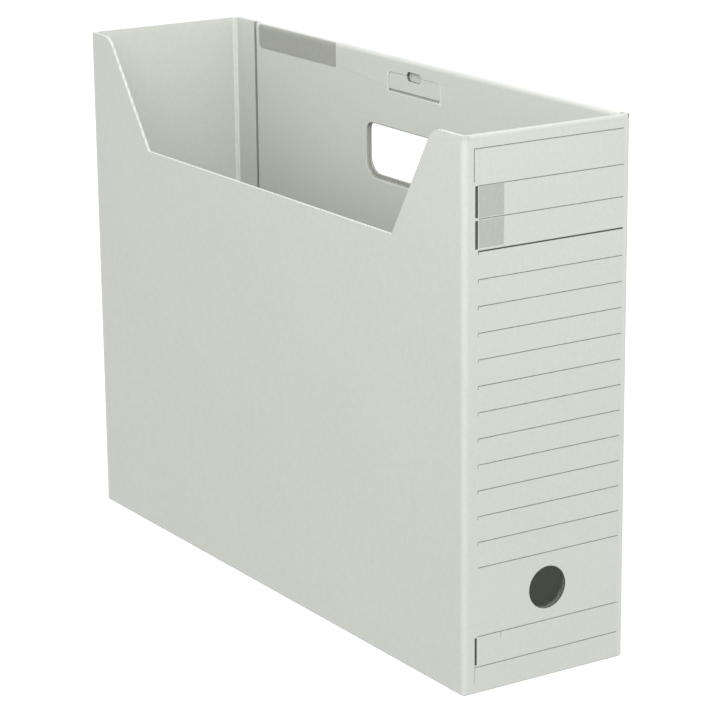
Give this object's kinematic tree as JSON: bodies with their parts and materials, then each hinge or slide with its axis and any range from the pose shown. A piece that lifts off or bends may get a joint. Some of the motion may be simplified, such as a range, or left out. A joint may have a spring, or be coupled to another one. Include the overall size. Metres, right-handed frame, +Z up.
{
  "type": "document file box",
  "caption": "Tall narrow open-topped board box for upright files, one long side cut low, with a handle hole, a finger hole and a small pull tab.",
  "frame": {"origin": "under the middle of the box, on the surface that it stands on", "axes": "+Z up, +X along the long side towards the labelled front, -Y towards the low side with the cutaway, +Y towards the high side with the handle hole"},
  "size_m": [0.386, 0.102, 0.29],
  "materials": {
    "grey_board": "matt pale grey paper board",
    "dark_ink": "matt dark grey print",
    "pale_ink": "matt mid grey print"
  },
  "bodies": {
    "box": {"box_body": "grey_board"},
    "tab": {"pull_tab": "grey_board"}
  },
  "joints": [
    {"name": "pull_tab_crease", "type": "hinge", "parent": "box", "child": "tab", "pos_m": [0.003, 0.0475, 0.2712], "axis": [1, 0, 0], "range_deg": [0, 120]}
  ]
}
